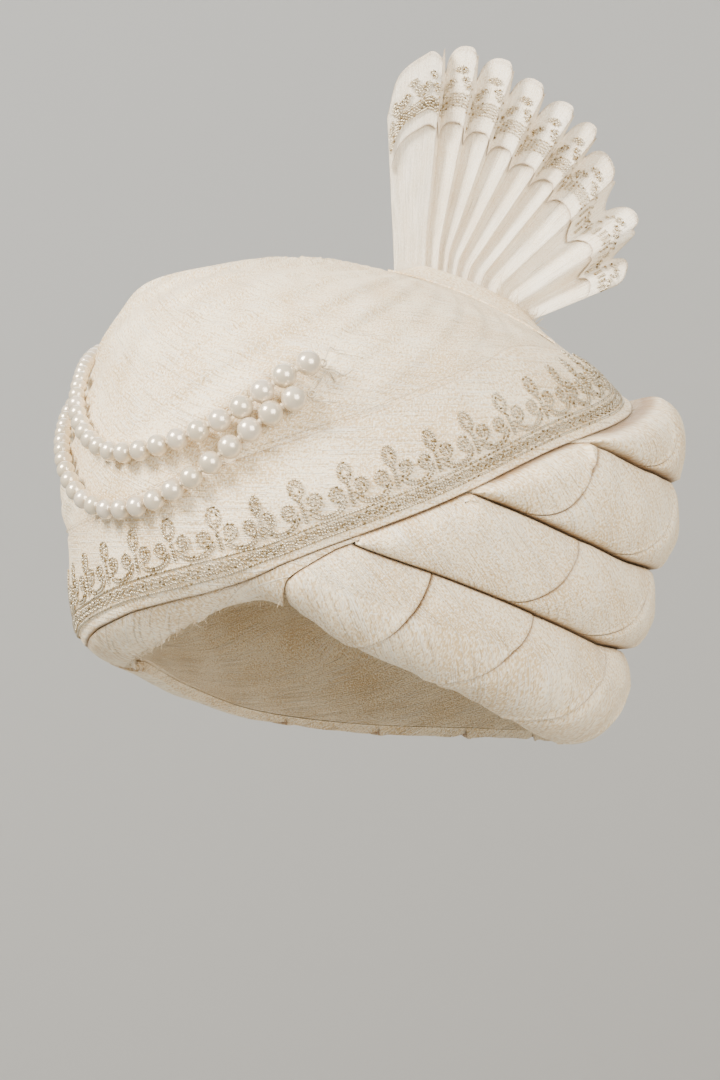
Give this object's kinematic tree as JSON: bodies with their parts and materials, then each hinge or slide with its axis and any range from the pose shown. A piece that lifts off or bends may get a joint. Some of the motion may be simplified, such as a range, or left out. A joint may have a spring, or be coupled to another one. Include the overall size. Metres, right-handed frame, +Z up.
{
  "type": "tied turban pagri",
  "caption": "Wound silk turban: hollow folded crown, slanting embroidered band, plaited padded side tiers, upright pleated fan and swags of graded pearls",
  "frame": {"origin": "middle of the head's opening, level with the peak of the rim over the forehead", "axes": "+X to the wearer's left, -Y the way the face looks, +Z up"},
  "size_m": [0.2493, 0.2799, 0.2981],
  "materials": {
    "crown_silk": "soft raw silk, faint slubs",
    "band_silk": "soft raw silk with raised metallic thread",
    "roll_silk": "soft raw silk",
    "tier_silk": "soft raw silk over padding",
    "fan_silk": "crisp pleated silk",
    "fan_zari": "dense metallic thread embroidery",
    "pearl": "lustrous imitation pearl"
  },
  "bodies": {
    "root": {"crown": "crown_silk", "embroidered_band": "band_silk", "fan_border": "fan_zari", "fan_leaf": "fan_silk", "fan_lip": "fan_silk", "pearl_strand_lower": "pearl", "pearl_strand_upper": "pearl", "rim_roll": "roll_silk", "tier_lower_01": "tier_silk", "tier_lower_02": "tier_silk", "tier_lower_03": "tier_silk", "tier_lower_04": "tier_silk", "tier_lower_05": "tier_silk", "tier_lower_06": "tier_silk", "tier_lower_07": "tier_silk", "tier_lower_08": "tier_silk", "tier_rim_01": "tier_silk", "tier_rim_02": "tier_silk", "tier_rim_03": "tier_silk", "tier_rim_04": "tier_silk", "tier_rim_05": "tier_silk", "tier_rim_06": "tier_silk", "tier_rim_07": "tier_silk", "tier_rim_08": "tier_silk", "tier_rim_09": "tier_silk", "tier_rim_10": "tier_silk", "tier_top_01": "tier_silk", "tier_top_02": "tier_silk", "tier_top_03": "tier_silk", "tier_upper_01": "tier_silk", "tier_upper_02": "tier_silk", "tier_upper_03": "tier_silk", "tier_upper_04": "tier_silk", "tier_upper_05": "tier_silk", "tier_upper_06": "tier_silk"}
  },
  "joints": []
}
